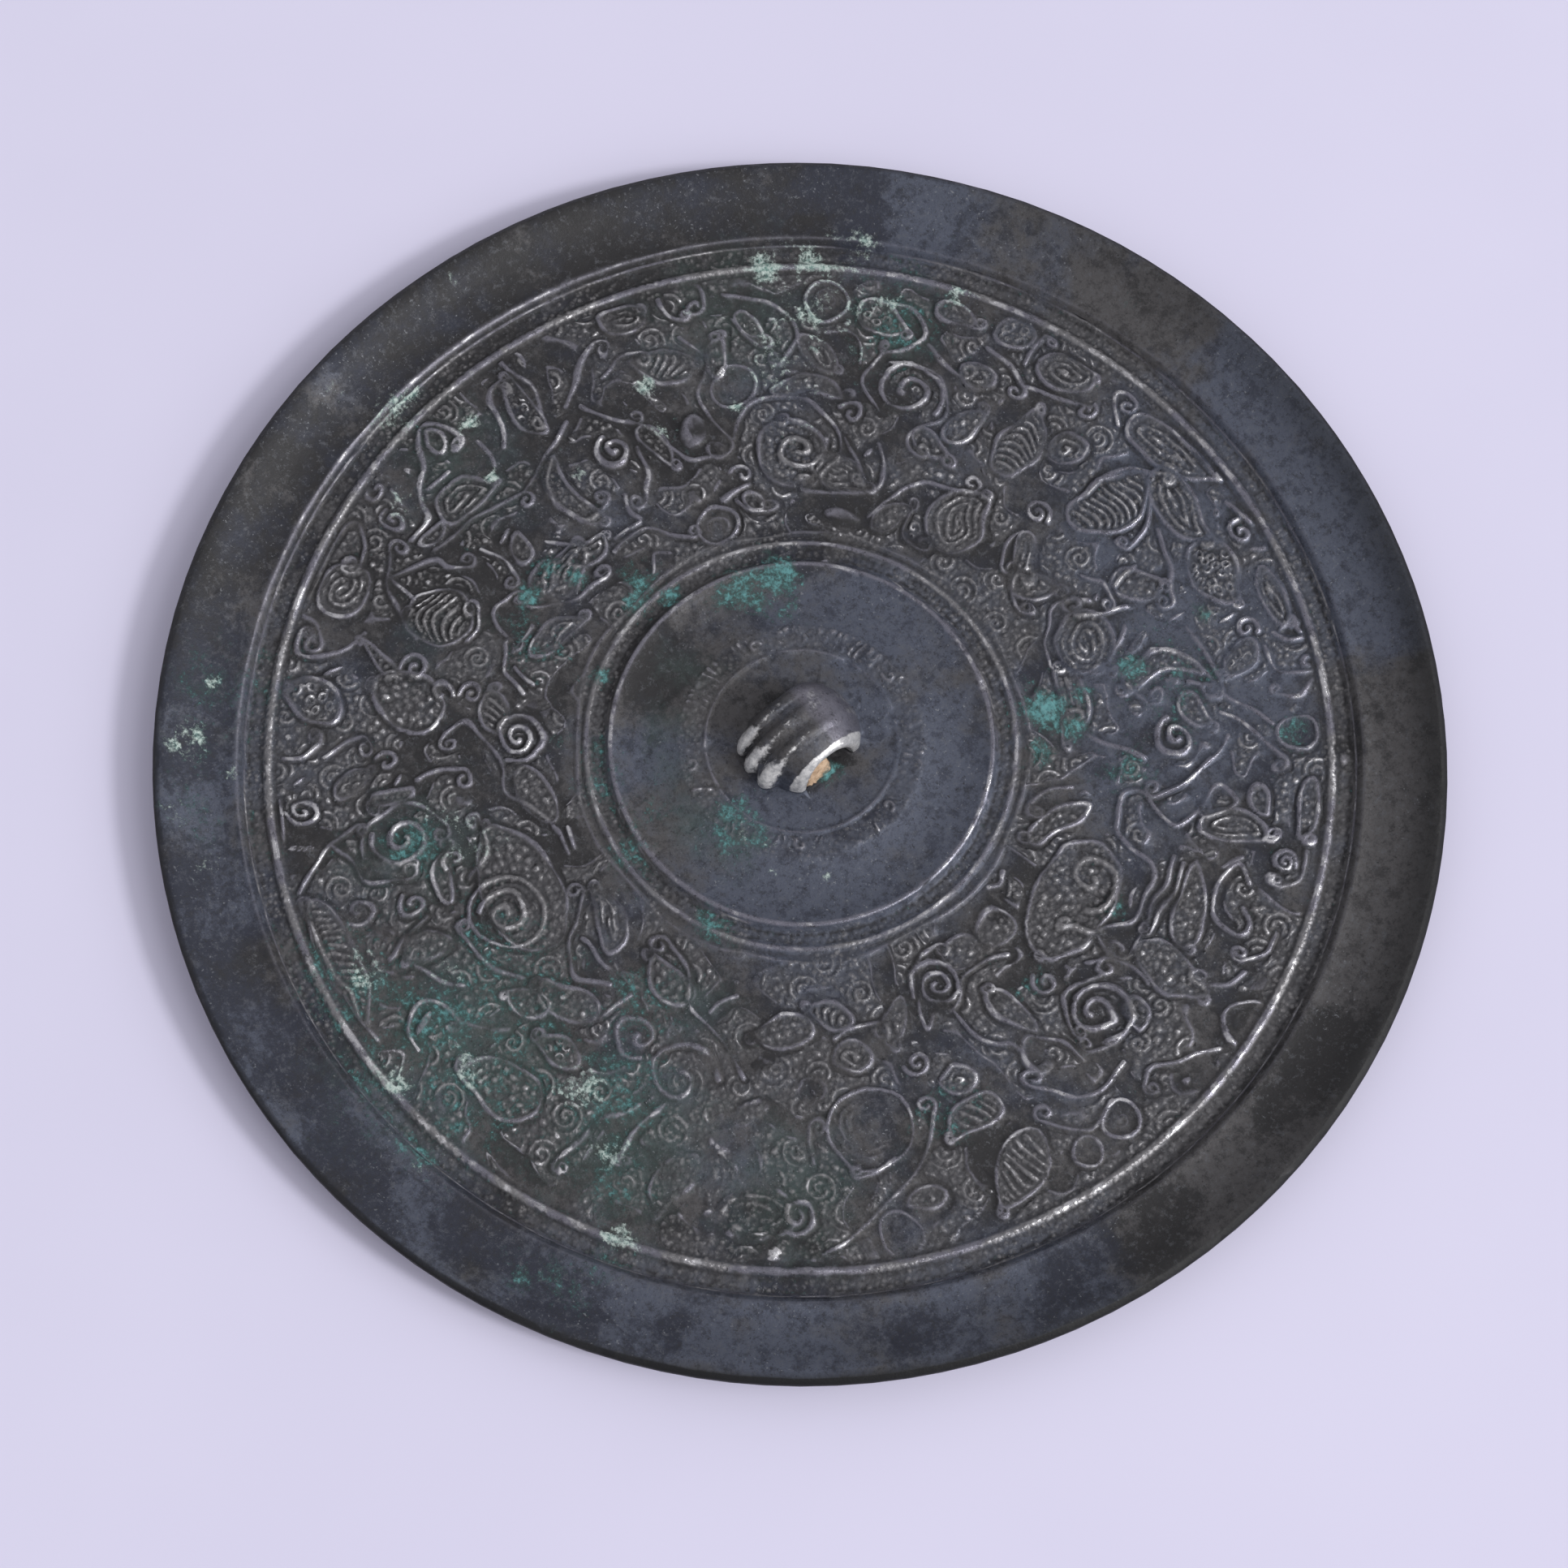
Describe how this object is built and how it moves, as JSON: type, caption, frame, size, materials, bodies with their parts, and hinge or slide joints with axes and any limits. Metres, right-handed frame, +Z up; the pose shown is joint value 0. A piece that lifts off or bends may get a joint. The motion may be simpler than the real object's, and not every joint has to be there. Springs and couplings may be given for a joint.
{
  "type": "bronze mirror",
  "caption": "Round cast bronze mirror lying face down, its back worked with interlaced dragons in relief round a small bridge knob pierced for a cord.",
  "frame": {"origin": "centre of the round plate, on the plane of the polished face that it lies on", "axes": "+Z up, out of the decorated back; +X along the tunnel through the knob; +Y across the knob's arch"},
  "size_m": [0.16, 0.16, 0.0093],
  "materials": {
    "bronze": "satin"
  },
  "bodies": {
    "root": {"mirror": "bronze"}
  },
  "joints": []
}
